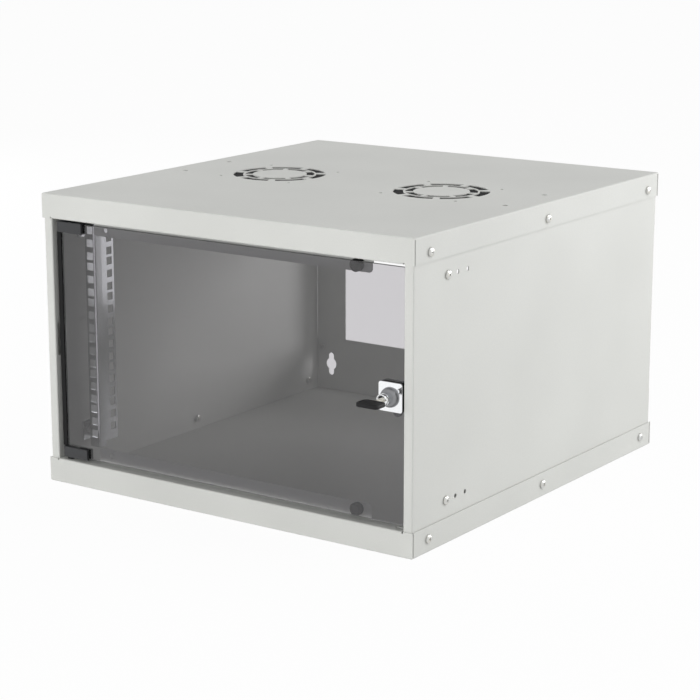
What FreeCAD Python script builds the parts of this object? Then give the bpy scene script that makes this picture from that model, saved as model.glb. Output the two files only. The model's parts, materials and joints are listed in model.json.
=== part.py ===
import FreeCAD, Part
import os
from math import cos, pi, sin, sqrt, tan

# Six-unit wall cabinet for 19-inch rack equipment: a folded top and bottom cover lap two folded side
# panels, a cut-out back panel is screwed to the sides, and a frameless glass door turns on two pins.
# Millimetres. +Z is up, the door faces -Y, and the origin is at the middle of the base's underside.

V = FreeCAD.Vector
X_AXIS = V(1, 0, 0)
Y_AXIS = V(0, 1, 0)
Z_AXIS = V(0, 0, 1)

# ---------------------------------------------------------------- rack standard and overall size
rack_units = 6
rack_hole_spacing = 465.1
rack_hole_side = 9.5
rack_hole_pitch = 15.875
rack_hole_step = 12.7
room_below_rack = 47.2
room_above_rack = 43.1
room_beside_rack = 32.45
cabinet_depth = 565.0

unit_height = 2 * rack_hole_pitch + rack_hole_step
cabinet_width = rack_hole_spacing + 2 * room_beside_rack
cabinet_height = room_below_rack + rack_units * unit_height + room_above_rack
half_width = cabinet_width / 2
front_y = -cabinet_depth / 2
rear_y = cabinet_depth / 2
middle_z = cabinet_height / 2

# ---------------------------------------------------------------- sheet metal and fits
sheet = 1.2
inner_bend = 0.8
outer_bend = inner_bend + sheet
lap_gap = 0.3
running_gap = 0.05
moving_gap = 0.3

# ---------------------------------------------------------------- covers
lip_height = 30.0
rear_lip_height = 12.0
corner_seam = 1.6
seam_relief = 0.9
stop_strip_setback = 19.5
stop_strip_height = 17.7
ledge_end_gap = 1.0
ledge_relief = 2.2
stop_strip_end_gap = 52.1
stop_strip_corner = 4.5
bumper_end_gap = 18.2
bumper_rise = 10.0
bumper_hole_radius = 3.0
bottom_screw_rise = 15.8
top_screw_drop = 19.5
first_cover_screw = 32.2
last_cover_screw = 28.5

fan_spacing = 241.0
fan_y = -1.5
fan_screw_spacing = 105.0
fan_screw_radius = 2.25
fan_slots = 7
fan_slot_half_angle = 21.5 * pi / 180
fan_outer_slot = (46.0, 58.3)
fan_inner_slot = (34.0, 44.0)
anchor_spacing_x = 472.0
anchor_spacing_y = 90.5
anchor_hole_radius = 3.5

# ---------------------------------------------------------------- side panels and back panel
side_flange_width = 11.9
side_return_margin = 3.4
side_rear_setback = 4.0
tab_width = 15.0
tab_height = 47.1
tab_rise = 28.5
tab_screw_inset = 10.5
tab_screw_drop = 13.6
cable_opening_margin_x = 48.2
cable_opening_margin_z = 75.5
keyhole_radius = 8.5
keyhole_slot_radius = 4.5
keyhole_length = 32.4
keyhole_inset_x = 23.7
keyhole_rise = 37.2

# ---------------------------------------------------------------- rack rails and their brackets
rail_sheet = 1.5
rail_front_setback = 48.5
rail_flange_inset = 7.5
rail_flange_outset = 8.9
rail_lip_depth = 12.0
rail_web_depth = 51.0
rail_side_hole_setback = 42.9
rail_end_overlap = 10.2
bracket_sheet = 2.0
bracket_height = 24.0
bracket_rise = 3.3
bracket_depth = 22.0
bracket_screw_setback = 69.8
bracket_spare_pitch = 20.4
bracket_spare_holes = 2

# ---------------------------------------------------------------- fasteners
M5 = {"radius": 2.5, "hole": 2.65, "head_radius": 5.25, "head": 3.0, "flats": 8.0, "nut": 4.0}
M4 = {"radius": 2.0, "hole": 2.15, "head_radius": 4.0, "head": 1.8, "flats": 7.0, "nut": 3.2}
nut_gap = 0.05
screw_point = 1.0
screw_point_edge = 0.5
screw_crown = 0.9

# ---------------------------------------------------------------- door
glass_thickness = 4.0
glass_setback = 7.5
glass_end_gap = 4.4
glass_side_gap = 2.2
hinge_side_gap = 3.4
glass_corner = 2.0
trim_wall = 1.0
trim_grip = 6.0
clamp_inset = 2.8
clamp_overhang = 1.5
clamp_length = 37.5
clamp_height = 13.0
clamp_depth = 13.0
clamp_block_length = 21.0
clamp_edge = 0.8
pad_thickness = 0.5
clamp_screw_radius = 2.0
clamp_screw_socket = 2.0
pivot_inset = 9.2
pivot_radius = 2.5
pivot_engagement = 8.0
spare_slot_length = 6.0
pivot_head_radius = 4.5
pivot_head = 1.2
bush_radius = 4.5
bumper_radius = 7.4
bumper_edge = 1.3
bumper_bead_radius = 3.8
bumper_bead = 1.8

# ---------------------------------------------------------------- lock and key
lock_width = 31.0
lock_height = 33.0
lock_corner = 3.0
lock_edge_gap = 1.2
lock_plate_setback = 4.0
lock_plate_thickness = 1.2
lock_rear_depth = 8.0
lock_nut_pocket = 4.0
lock_nut_flats = 22.0
lock_nut_pocket_radius = 13.2
barrel_radius = 8.0
glass_hole_radius = 10.0
dome_radius = 11.5
dome_height = 7.0
neck_radius = 6.9
neck_reach = 17.5
plug_radius = 4.95
cam_thickness = 1.5
cam_half_width = 6.0
cam_gap = 0.5
cam_bite = 6.7
strike_clearance = 2.8
strike_slot_gap = 2.1
strike_front_margin = 4.1
cam_screw_radius = 1.5
cam_screw_head_radius = 3.2
cam_screw_head = 1.8
cam_screw_length = 8.0
key_width = 8.0
key_thickness = 2.0
key_gap = 0.15
key_insertion = 22.0
key_neck = 10.0
key_socket = 8.0
key_head_width = 28.5
key_head_length = 20.5
key_head_thickness = 4.6
key_head_corner = 5.0
key_head_edge = 0.8
key_notches = 5
key_notch_pitch = 3.5
key_notch_depth = 1.6

# ---------------------------------------------------------------- places worked out from the sizes
panel_half = half_width - sheet - lap_gap
panel_inner = panel_half - sheet
panel_front = front_y + sheet + lap_gap
opening_half = panel_half - side_flange_width
panel_bottom = sheet + lap_gap
panel_top = cabinet_height - sheet - lap_gap

glass_front = front_y + glass_setback
glass_rear = glass_front + glass_thickness
glass_right = opening_half - glass_side_gap
door_left = -opening_half + hinge_side_gap
glass_bottom = lip_height + glass_end_gap
glass_top = cabinet_height - glass_bottom
strip_front = front_y + stop_strip_setback
ledge_half = opening_half - ledge_end_gap
strip_half = opening_half - stop_strip_end_gap
bumper_x = strip_half - bumper_end_gap
first_screw_y = front_y + first_cover_screw
last_screw_y = rear_y - last_cover_screw
cover_screw_places = (first_screw_y, (first_screw_y + last_screw_y) / 2, last_screw_y)
bottom_screw_z = bottom_screw_rise
top_screw_z = cabinet_height - top_screw_drop

lock_x = glass_right - lock_edge_gap - lock_width / 2
lock_z = middle_z
lock_plate_front = front_y + lock_plate_setback
lock_plate_rear = lock_plate_front + lock_plate_thickness
lock_rear = glass_rear + lock_rear_depth
plug_face = lock_plate_front - neck_reach
cam_front = lock_rear + cam_gap
cam_rear = cam_front + cam_thickness
cam_length = opening_half - lock_x + cam_bite
strike_half_height = sqrt(cam_length ** 2 - (opening_half - lock_x) ** 2) + strike_clearance

panel_rear = rear_y - side_rear_setback
tab_rear = rear_y - M4["head"]
tab_screw_x = panel_half - tab_screw_inset
tab_screw_z = tab_rise + tab_height - tab_screw_drop
strike_front = panel_front + strike_front_margin
strike_rear = cam_rear + strike_slot_gap
return_rear = strike_rear + side_return_margin
back_half = panel_inner - lap_gap
cable_opening_half = back_half - cable_opening_margin_x
keyhole_x = back_half - keyhole_inset_x

pivot_x = door_left + pivot_inset
pivot_y = glass_front + glass_thickness / 2 + 0.5
clamp_front = pivot_y - clamp_depth / 2
clamp_rear = pivot_y + clamp_depth / 2
clamp_left = door_left + clamp_inset
clamp_bottom = glass_bottom - clamp_overhang

back_rear = tab_rear - sheet
back_front = back_rear - sheet

rail_hole_x = rack_hole_spacing / 2
rail_inner_x = rail_hole_x - rail_flange_inset
rail_outer_x = rail_hole_x + rail_flange_outset
rail_face_y = front_y + rail_front_setback
rail_bottom = room_below_rack - rail_end_overlap
rail_top = cabinet_height - rail_bottom
bracket_screw_y = front_y + bracket_screw_setback
bracket_z = room_below_rack + bracket_rise


# ---------------------------------------------------------------- building blocks
def block(x0, x1, y0, y1, z0, z1):
    """Box between two corners."""
    return Part.makeBox(x1 - x0, y1 - y0, z1 - z0, V(x0, y0, z0))


def rod(radius, start, direction, length):
    return Part.makeCylinder(radius, length, start, direction)


def edges_along(shape, axis, near):
    """Straight edges of the shape that run along an axis and whose middle passes a test."""
    found = []
    for edge in shape.Edges:
        straight = edge.Curve.TypeId == "Part::GeomLine"
        if straight and abs(abs(edge.tangentAt(edge.FirstParameter).dot(axis)) - 1) < 1e-6:
            if near(edge.CenterOfMass):
                found.append(edge)
    return found


def mirrored_in_x(shape):
    return shape.mirror(V(0, 0, 0), X_AXIS)


def mirrored_in_z(shape):
    """The same piece at the other end of the cabinet's height."""
    return shape.mirror(V(0, 0, middle_z), Z_AXIS)


def four_ways(shape):
    """A piece of the lower right corner, and its copies in the other three."""
    lower = [shape, mirrored_in_x(shape)]
    return lower + [mirrored_in_z(piece) for piece in lower]


def turned_to(shape, position, outward):
    """Moves a piece made at the origin along +Z so that +Z points outward."""
    placed = shape.copy()
    placed.Placement = FreeCAD.Placement(position, FreeCAD.Rotation(Z_AXIS, outward))
    return placed


def run_between(start, end):
    """Straight edge, or nothing where one bend starts as the last one ends."""
    return [Part.makeLine(start, end)] if start.distanceToPoint(end) > 1e-6 else []


def rounded_path(corners, radii):
    """Edges of an open path: straight runs joined by tangent arcs, one radius for each inner corner."""
    edges = []
    start = corners[0]
    for before, corner, after, radius in zip(corners, corners[1:], corners[2:], radii):
        into = (corner - before).normalize()
        away = (after - corner).normalize()
        half_turn = into.getAngle(away) / 2
        setback = radius * tan(half_turn)
        middle = corner + (away - into).normalize() * (radius / cos(half_turn) - radius)
        edges += run_between(start, corner - into * setback)
        edges.append(Part.Arc(corner - into * setback, middle, corner + away * setback).toShape())
        start = corner + away * setback
    return edges + run_between(start, corners[-1])


def folded_sheet(corners, toward, width, thickness):
    """Bent sheet. The corners lie on one face of it, toward says on which side of the first run its
    thickness is, and width is the vector that the folded section is extruded along."""
    across = V(width).normalize()
    runs = [(end - start).normalize() for start, end in zip(corners, corners[1:])]
    side = 1 if across.cross(runs[0]).dot(toward) > 0 else -1
    normals = [across.cross(run) * side for run in runs]
    far = [corners[0] + normals[0] * thickness]
    near_radii = []
    far_radii = []
    for corner, first, second, run in zip(corners[1:], normals, normals[1:], runs[1:]):
        far.append(corner + (first + second) * (thickness / (1 + first.dot(second))))
        outside = first.dot(run) > 0
        near_radii.append(inner_bend + thickness if outside else inner_bend)
        far_radii.append(inner_bend if outside else inner_bend + thickness)
    far.append(corners[-1] + normals[-1] * thickness)
    section = rounded_path(corners, near_radii)
    section.append(Part.makeLine(corners[-1], far[-1]))
    section += rounded_path(far[::-1], far_radii[::-1])
    section.append(Part.makeLine(far[0], corners[0]))
    return Part.Face(Part.Wire(section)).extrude(width)


def turned_piece(profile, axis_point, axis):
    """Solid of revolution. The profile is a closed ring of (radius, height) corners along the axis."""
    ring = [V(radius, 0, height) for radius, height in profile]
    face = Part.Face(Part.makePolygon(ring + ring[:1]))
    return turned_to(face.revolve(V(0, 0, 0), Z_AXIS, 360), axis_point, axis)


def pan_screw(size, grip):
    """Pan-head screw made along +Z: the head's seat is at the origin and the shank points down."""
    radius = size["radius"]
    head_radius = size["head_radius"]
    head = size["head"]
    tip = -grip - screw_point
    return turned_piece([(0, head), (0, tip), (radius - screw_point_edge, tip),
                         (radius, tip + screw_point_edge), (radius, 0), (head_radius, 0),
                         (head_radius, head - screw_crown),
                         (head_radius - 2 * screw_crown, head)], V(0, 0, 0), Z_AXIS)


def hex_prism(across_flats, height):
    """Hexagon made along -Z from the origin."""
    corner = across_flats / sqrt(3)
    ring = [V(corner * cos(k * pi / 3), corner * sin(k * pi / 3), 0) for k in range(6)]
    return Part.Face(Part.makePolygon(ring + ring[:1])).extrude(V(0, 0, -height))


def hex_nut(across_flats, height, bore):
    """Hexagon nut made along -Z: its seat is at the origin."""
    return hex_prism(across_flats, height).cut(rod(bore, V(0, 0, 0), -Z_AXIS, height))


def save(name, *solids):
    shape = solids[0] if len(solids) == 1 else Part.makeCompound(list(solids))
    for solid in shape.Solids:
        if not solid.isValid():
            raise ValueError(name + " has a solid that isn't valid")
    shape.exportStep("parts/" + name + ".step")


os.makedirs("parts", exist_ok=True)


# ---------------------------------------------------------------- covers
# Both covers are the same folded pan. The front lip laps the ends of the side lips, returns inward as
# a ledge, and ends in an upright strip that the door's bumpers sit on.
def cover_pan():
    outer = block(-half_width, half_width, front_y, rear_y, 0, lip_height)
    outer = outer.makeFillet(outer_bend, [edge for edge in outer.Edges if edge.CenterOfMass.z < 1e-6])
    inner = block(sheet - half_width, half_width - sheet, front_y + sheet, rear_y - sheet,
                  sheet, lip_height + outer_bend)
    floor_edges = [edge for edge in inner.Edges if edge.CenterOfMass.z < sheet + 1e-6]
    pan = outer.cut(inner.makeFillet(inner_bend, floor_edges))

    above_rear_lip = block(sheet - half_width, half_width - sheet, rear_y - 2 * sheet, rear_y + sheet,
                           rear_lip_height, lip_height + outer_bend)
    crease_half = ledge_half + ledge_relief
    lip_crease = block(-crease_half, crease_half, front_y - sheet, front_y + 2 * sheet,
                       lip_height - outer_bend, lip_height + outer_bend)
    pan = pan.cut([above_rear_lip, lip_crease])
    for x in (-half_width, half_width):
        for y in (front_y + sheet + corner_seam / 2, rear_y - sheet - corner_seam / 2):
            seam = block(x - 2 * sheet, x + 2 * sheet, y - corner_seam / 2, y + corner_seam / 2,
                         outer_bend + seam_relief, lip_height + outer_bend)
            relief = rod(seam_relief, V(x - 2 * sheet, y, outer_bend + seam_relief), X_AXIS, 4 * sheet)
            pan = pan.cut([seam, relief])
    return pan


def door_stop():
    """Ledge and upright strip that continue the front lip. The strip has a bumper's hole near each end,
    and the ledge has a slot where the pin of a door hung from the right would go."""
    crease_start = lip_height - outer_bend
    ledge_path = [V(-ledge_half, front_y, crease_start), V(-ledge_half, front_y, lip_height),
                  V(-ledge_half, strip_front, lip_height)]
    ledge = folded_sheet(ledge_path, Y_AXIS, V(2 * ledge_half, 0, 0), sheet)
    strip_path = [V(-strip_half, front_y + outer_bend, lip_height), V(-strip_half, strip_front, lip_height),
                  V(-strip_half, strip_front, lip_height + stop_strip_height)]
    strip = folded_sheet(strip_path, -Z_AXIS, V(2 * strip_half, 0, 0), sheet)
    strip_top = lip_height + stop_strip_height
    strip = strip.makeFillet(stop_strip_corner, edges_along(strip, Y_AXIS, lambda p: p.z > strip_top - 1e-6))
    for x in (-bumper_x, bumper_x):
        hole_at = V(x, strip_front - sheet, lip_height + bumper_rise)
        strip = strip.cut(rod(bumper_hole_radius, hole_at, Y_AXIS, 3 * sheet))
    pin_holes = [rod(pivot_radius + running_gap, V(x, pivot_y, 0), Z_AXIS, lip_height + sheet)
                 for x in (pivot_x, -pivot_x, -pivot_x + spare_slot_length)]
    spare_slot = block(-pivot_x, -pivot_x + spare_slot_length, pivot_y - pivot_radius - running_gap,
                       pivot_y + pivot_radius + running_gap, 0, lip_height + sheet)
    return ledge.fuse(strip).cut(pin_holes + [spare_slot])


def screwed_cover(shape, screw_z):
    """Cuts the holes of the cover screws through both side lips."""
    for y in cover_screw_places:
        through = V(-half_width - sheet, y, screw_z)
        shape = shape.cut(rod(M5["hole"], through, X_AXIS, cabinet_width + 2 * sheet))
    return shape


def ring_slots(radii, centre, first_angle):
    """Ring of equal arc-shaped slots, cut through the top sheet."""
    inner_radius, outer_radius = radii
    slots = []
    for k in range(fan_slots):
        middle = first_angle + k * 2 * pi / fan_slots
        start, end = middle - fan_slot_half_angle, middle + fan_slot_half_angle
        outer = [centre + V(cos(a), sin(a), 0) * outer_radius for a in (start, middle, end)]
        inner = [centre + V(cos(a), sin(a), 0) * inner_radius for a in (end, middle, start)]
        outline = Part.Wire([Part.Arc(*outer).toShape(), Part.makeLine(outer[-1], inner[0]),
                             Part.Arc(*inner).toShape(), Part.makeLine(inner[-1], outer[0])])
        slots.append(Part.Face(outline).extrude(V(0, 0, 3 * sheet)))
    return slots


def square_pattern(centre, spacing_x, spacing_y, radius):
    """Four holes through the top sheet."""
    return [rod(radius, centre + V(sx * spacing_x / 2, sy * spacing_y / 2, 0), Z_AXIS, 3 * sheet)
            for sx in (-1, 1) for sy in (-1, 1)]


pan = cover_pan().fuse(door_stop()).removeSplitter()
save("bottom_cover", screwed_cover(pan, bottom_screw_z))

top_cover = screwed_cover(mirrored_in_z(pan), top_screw_z)
under_top = cabinet_height - 2 * sheet
for side in (-1, 1):
    fan_centre = V(side * fan_spacing / 2, fan_y, under_top)
    cuts = ring_slots(fan_outer_slot, fan_centre, -pi / 2) + ring_slots(fan_inner_slot, fan_centre, pi / 2)
    cuts += square_pattern(fan_centre, fan_screw_spacing, fan_screw_spacing, fan_screw_radius)
    top_cover = top_cover.cut(cuts)
anchor_centre = V(0, fan_y, under_top)
anchor_holes = square_pattern(anchor_centre, anchor_spacing_x, anchor_spacing_y, anchor_hole_radius)
top_cover = top_cover.cut(anchor_holes)
save("top_cover", top_cover)


# ---------------------------------------------------------------- side panels
# Each panel's front edge folds in across the opening and back again. Two tabs at the rear fold in
# behind the back panel.
def right_side_panel():
    height = V(0, 0, panel_top - panel_bottom)
    wall_path = [V(panel_half, panel_rear, panel_bottom), V(panel_half, panel_front, panel_bottom),
                 V(opening_half, panel_front, panel_bottom), V(opening_half, return_rear, panel_bottom)]
    panel = folded_sheet(wall_path, -X_AXIS, height, sheet)
    tab_path = [V(panel_half, panel_rear - sheet, tab_rise), V(panel_half, tab_rear, tab_rise),
                V(panel_half - tab_width, tab_rear, tab_rise)]
    tab = folded_sheet(tab_path, -X_AXIS, V(0, 0, tab_height), sheet)
    screw_hole = rod(M4["hole"], V(tab_screw_x, back_front, tab_screw_z), Y_AXIS, 4 * sheet)
    tab = tab.cut(screw_hole)
    panel = panel.fuse([tab, mirrored_in_z(tab)]).removeSplitter()

    strike_slot = block(opening_half - sheet, opening_half + 2 * sheet, strike_front, strike_rear,
                        lock_z - strike_half_height, lock_z + strike_half_height)
    cuts = [strike_slot]
    for y in cover_screw_places:
        for z in (bottom_screw_z, top_screw_z):
            cuts.append(rod(M5["hole"], V(panel_inner - sheet, y, z), X_AXIS, 3 * sheet))
    spare_places = [bracket_screw_y + k * bracket_spare_pitch for k in range(1 + bracket_spare_holes)]
    for y in spare_places:
        hole = rod(M5["hole"], V(panel_inner - sheet, y, bracket_z), X_AXIS, 3 * sheet)
        cuts += [hole, mirrored_in_z(hole)]
    return panel.cut(cuts)


right_panel = right_side_panel()
save("right_side_panel", right_panel)
save("left_side_panel", mirrored_in_x(right_panel))


# ---------------------------------------------------------------- back panel
# Flat sheet with one large cable opening and four double-ended keyholes to hang the cabinet by. Its
# sides are relieved where the tabs bend round them.
def keyhole(x, z):
    """Round hole for a screw's head, with a slot above and below it for the shank."""
    reach = keyhole_length / 2 - keyhole_slot_radius
    cuts = [rod(keyhole_radius, V(x, back_front - sheet, z), Y_AXIS, 3 * sheet),
            block(x - keyhole_slot_radius, x + keyhole_slot_radius, back_front - sheet, back_rear + sheet,
                  z - reach, z + reach)]
    for end in (z - reach, z + reach):
        cuts.append(rod(keyhole_slot_radius, V(x, back_front - sheet, end), Y_AXIS, 3 * sheet))
    return cuts


back_panel = block(-back_half, back_half, back_front, back_rear, panel_bottom, panel_top)
back_cuts = [block(-cable_opening_half, cable_opening_half, back_front - sheet, back_rear + sheet,
                   panel_bottom + cable_opening_margin_z, panel_top - cable_opening_margin_z)]
bend_clear_x = panel_inner - inner_bend - lap_gap
for side in (-1, 1):
    lower_cuts = keyhole(side * keyhole_x, panel_bottom + keyhole_rise)
    lower_cuts.append(rod(M4["hole"], V(side * tab_screw_x, back_front - sheet, tab_screw_z), Y_AXIS,
                          3 * sheet))
    tab_relief = block(bend_clear_x, panel_half, back_front - sheet, back_rear + sheet,
                       tab_rise - lap_gap, tab_rise + tab_height + lap_gap)
    lower_cuts.append(tab_relief if side > 0 else mirrored_in_x(tab_relief))
    back_cuts += lower_cuts + [mirrored_in_z(cut) for cut in lower_cuts]
save("back_panel", back_panel.cut(back_cuts))


# ---------------------------------------------------------------- rack rails
# A channel with the square holes of the rack standard in its front flange and again in its web. A short
# lip stiffens the flange; the web is screwed to a U-shaped bracket at each end, and the brackets are
# screwed to the side panel.
def rack_hole_heights():
    return [room_below_rack + unit * unit_height + rack_hole_step / 2 + k * rack_hole_pitch
            for unit in range(rack_units) for k in range(3)]


rail_path = [V(rail_inner_x, rail_face_y + rail_lip_depth, rail_bottom),
             V(rail_inner_x, rail_face_y, rail_bottom), V(rail_outer_x, rail_face_y, rail_bottom),
             V(rail_outer_x, rail_face_y + rail_web_depth, rail_bottom)]
rail = folded_sheet(rail_path, X_AXIS, V(0, 0, rail_top - rail_bottom), rail_sheet)
half_hole = rack_hole_side / 2
side_hole_y = rail_face_y + rail_side_hole_setback
rail_cuts = []
for z in rack_hole_heights():
    rail_cuts.append(block(rail_hole_x - half_hole, rail_hole_x + half_hole, rail_face_y - rail_sheet,
                           rail_face_y + 2 * rail_sheet, z - half_hole, z + half_hole))
    rail_cuts.append(block(rail_outer_x - 2 * rail_sheet, rail_outer_x + rail_sheet, side_hole_y - half_hole,
                           side_hole_y + half_hole, z - half_hole, z + half_hole))
rail_screw_hole = rod(M5["hole"], V(rail_outer_x - 2 * rail_sheet, bracket_screw_y, bracket_z), X_AXIS,
                      3 * rail_sheet)
rail = rail.cut(rail_cuts + [rail_screw_hole, mirrored_in_z(rail_screw_hole)])
save("right_rack_rail", rail)
save("left_rack_rail", mirrored_in_x(rail))

bracket_front = bracket_screw_y - bracket_depth / 2
bracket_rear = bracket_screw_y + bracket_depth / 2
bracket_low = bracket_z - bracket_height / 2
bracket_path = [V(rail_outer_x, bracket_front, bracket_low), V(rail_outer_x, bracket_rear, bracket_low),
                V(panel_inner, bracket_rear, bracket_low), V(panel_inner, bracket_front, bracket_low)]
bracket = folded_sheet(bracket_path, X_AXIS, V(0, 0, bracket_height), bracket_sheet)
bracket = bracket.cut(rod(M5["hole"], V(rail_inner_x, bracket_screw_y, bracket_z), X_AXIS,
                          panel_half - rail_inner_x))
bracket_names = ("lower_right_rail_bracket", "lower_left_rail_bracket",
                 "upper_right_rail_bracket", "upper_left_rail_bracket")
for name, piece in zip(bracket_names, four_ways(bracket)):
    save(name, piece)


# ---------------------------------------------------------------- screws and nuts of the housing
def side_fasteners(places_z, places_y, seat_x, nut_x):
    """Screws put in from outside each side, and the nuts on them inside."""
    screws = []
    nuts = []
    for z in places_z:
        for y in places_y:
            screw = turned_to(pan_screw(M5, seat_x - nut_x + M5["nut"]), V(seat_x, y, z), X_AXIS)
            nut = turned_to(hex_nut(M5["flats"], M5["nut"], M5["radius"] + nut_gap), V(nut_x, y, z), X_AXIS)
            screws += [screw, mirrored_in_x(screw)]
            nuts += [nut, mirrored_in_x(nut)]
    return screws, nuts


for name, screw_z in (("top_cover", top_screw_z), ("bottom_cover", bottom_screw_z)):
    screws, nuts = side_fasteners([screw_z], cover_screw_places, half_width, panel_inner)
    save(name + "_screws", *screws)
    save(name + "_nuts", *nuts)

screws, nuts = side_fasteners([bracket_z, cabinet_height - bracket_z], [bracket_screw_y], panel_half,
                              panel_inner - bracket_sheet)
save("bracket_screws", *screws)
save("bracket_nuts", *nuts)

rail_screw = turned_to(pan_screw(M5, rail_sheet + bracket_sheet + M5["nut"]),
                       V(rail_outer_x - rail_sheet, bracket_screw_y, bracket_z), -X_AXIS)
rail_nut = turned_to(hex_nut(M5["flats"], M5["nut"], M5["radius"] + nut_gap),
                     V(rail_outer_x + bracket_sheet, bracket_screw_y, bracket_z), -X_AXIS)
save("rail_screws", *four_ways(rail_screw))
save("rail_nuts", *four_ways(rail_nut))

back_screw = turned_to(pan_screw(M4, 2 * sheet + M4["nut"]), V(tab_screw_x, tab_rear, tab_screw_z), Y_AXIS)
back_nut = turned_to(hex_nut(M4["flats"], M4["nut"], M4["radius"] + nut_gap),
                     V(tab_screw_x, back_front, tab_screw_z), Y_AXIS)
save("back_panel_screws", *four_ways(back_screw))
save("back_panel_nuts", *four_ways(back_nut))


# ---------------------------------------------------------------- door bumpers
# Rubber discs pushed into the lock-side hole of each stop strip; a bead behind the sheet holds them.
bumper_reach = strip_front - glass_rear - moving_gap
bumper = turned_piece([(0, 0), (bumper_radius, 0), (bumper_radius, bumper_reach - bumper_edge),
                       (bumper_radius - bumper_edge, bumper_reach), (0, bumper_reach)],
                      V(bumper_x, strip_front, lip_height + bumper_rise), -Y_AXIS)
neck_radius_in_hole = bumper_hole_radius - running_gap
neck_depth = sheet + bumper_bead
neck = turned_piece([(0, 0), (neck_radius_in_hole, 0), (neck_radius_in_hole, sheet),
                     (bumper_bead_radius, sheet), (neck_radius_in_hole, neck_depth), (0, neck_depth)],
                    V(bumper_x, strip_front, lip_height + bumper_rise), Y_AXIS)
bumper = bumper.fuse(neck).removeSplitter()
save("bottom_door_bumper", bumper)
save("top_door_bumper", mirrored_in_z(bumper))


# ---------------------------------------------------------------- hinge pins and bushes
# The pins are pushed through the ledges from the inside of the covers; a bush spaces each clamp.
bore_radius = pivot_radius + running_gap
pin_seat = lip_height - sheet
pin_length = sheet + clamp_bottom - lip_height + pivot_engagement
pin = turned_piece([(0, -pivot_head), (pivot_head_radius, -pivot_head), (pivot_head_radius, 0),
                    (pivot_radius, 0), (pivot_radius, pin_length), (0, pin_length)],
                   V(pivot_x, pivot_y, pin_seat), Z_AXIS)
bush_height = clamp_bottom - lip_height - moving_gap
bush = turned_piece([(bore_radius, 0), (bush_radius, 0), (bush_radius, bush_height),
                     (bore_radius, bush_height)], V(pivot_x, pivot_y, lip_height), Z_AXIS)
for end, placed in (("bottom", lambda shape: shape), ("top", mirrored_in_z)):
    save(end + "_hinge_pin", placed(pin))
    save(end + "_hinge_bush", placed(bush))


# ---------------------------------------------------------------- door glass
# One sheet of tempered glass. A notch at each hinge corner makes room for the clamp's block, and a
# round hole takes the lock.
glass_left = door_left + trim_wall
block_end = clamp_left + clamp_block_length
glass = block(glass_left, glass_right, glass_front, glass_rear, glass_bottom, glass_top)
free_corners = edges_along(glass, Y_AXIS, lambda p: p.x > glass_right - 1e-6)
glass = glass.makeFillet(glass_corner, free_corners)
notch = block(glass_left - sheet, block_end + moving_gap, glass_front - sheet, glass_rear + sheet,
              glass_bottom - sheet, clamp_bottom + clamp_height + moving_gap)
lock_hole = rod(glass_hole_radius, V(lock_x, glass_front - sheet, lock_z), Y_AXIS,
                glass_thickness + 2 * sheet)
save("door_glass", glass.cut([notch, mirrored_in_z(notch), lock_hole]))

trim_bottom = clamp_bottom + clamp_height + moving_gap
trim_top = cabinet_height - trim_bottom
trim = block(door_left, door_left + trim_grip, glass_front - trim_wall, glass_rear + trim_wall,
             trim_bottom, trim_top)
groove = block(glass_left, door_left + trim_grip + sheet, glass_front, glass_rear,
               trim_bottom - sheet, trim_top + sheet)
save("door_edge_trim", trim.cut(groove))


# ---------------------------------------------------------------- hinge clamps
# Cast block at the hinge corner: bored for the pin, and forked to grip the glass between two pads with
# a set screw from behind.
clamp_right = clamp_left + clamp_length
fork_front = glass_front - pad_thickness
fork_rear = glass_rear + pad_thickness
clamp_screw_x = (block_end + clamp_right) / 2
clamp_screw_z = clamp_bottom + clamp_height / 2
clamp = block(clamp_left, clamp_right, clamp_front, clamp_rear, clamp_bottom, clamp_bottom + clamp_height)
front_edges = [edge for edge in clamp.Edges if edge.CenterOfMass.y < clamp_front + 1e-6]
clamp = clamp.makeFillet(clamp_edge, front_edges)
fork = block(block_end, clamp_right + sheet, fork_front, fork_rear,
             clamp_bottom - sheet, clamp_bottom + clamp_height + sheet)
pin_bore = rod(bore_radius, V(pivot_x, pivot_y, clamp_bottom - sheet), Z_AXIS, pivot_engagement + 2 * sheet)
screw_hole = rod(clamp_screw_radius + nut_gap, V(clamp_screw_x, fork_rear - sheet, clamp_screw_z), Y_AXIS,
                 clamp_rear - fork_rear + 2 * sheet)
clamp = clamp.cut([fork, pin_bore, screw_hole])
pads = [block(block_end + moving_gap, clamp_right, y, y + pad_thickness, glass_bottom,
              clamp_bottom + clamp_height) for y in (fork_front, glass_rear)]
screw_length = clamp_rear - fork_rear
clamp_screw = rod(clamp_screw_radius, V(clamp_screw_x, fork_rear, clamp_screw_z), Y_AXIS, screw_length)
socket = turned_to(hex_prism(clamp_screw_socket, screw_length / 2),
                   V(clamp_screw_x, clamp_rear, clamp_screw_z), Y_AXIS)
clamp_screw = clamp_screw.cut(socket)
save("bottom_hinge_clamp", clamp)
save("top_hinge_clamp", mirrored_in_z(clamp))
save("hinge_clamp_pads", *pads, *[mirrored_in_z(pad) for pad in pads])
save("hinge_clamp_screws", clamp_screw, mirrored_in_z(clamp_screw))


# ---------------------------------------------------------------- lock body
# A chromed barrel passes through the glass. Its dome and face plate are in front, with a black housing
# on each side of the glass, and a ring nut in the rear housing draws the stack together.
barrel_hole = barrel_radius + nut_gap


def lock_plate(y0, y1):
    """Rounded square plate around the barrel."""
    plate = block(lock_x - lock_width / 2, lock_x + lock_width / 2, y0, y1,
                  lock_z - lock_height / 2, lock_z + lock_height / 2)
    plate = plate.makeFillet(lock_corner, edges_along(plate, Y_AXIS, lambda p: True))
    return plate.cut(rod(barrel_hole, V(lock_x, y0 - sheet, lock_z), Y_AXIS, y1 - y0 + 2 * sheet))


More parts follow.
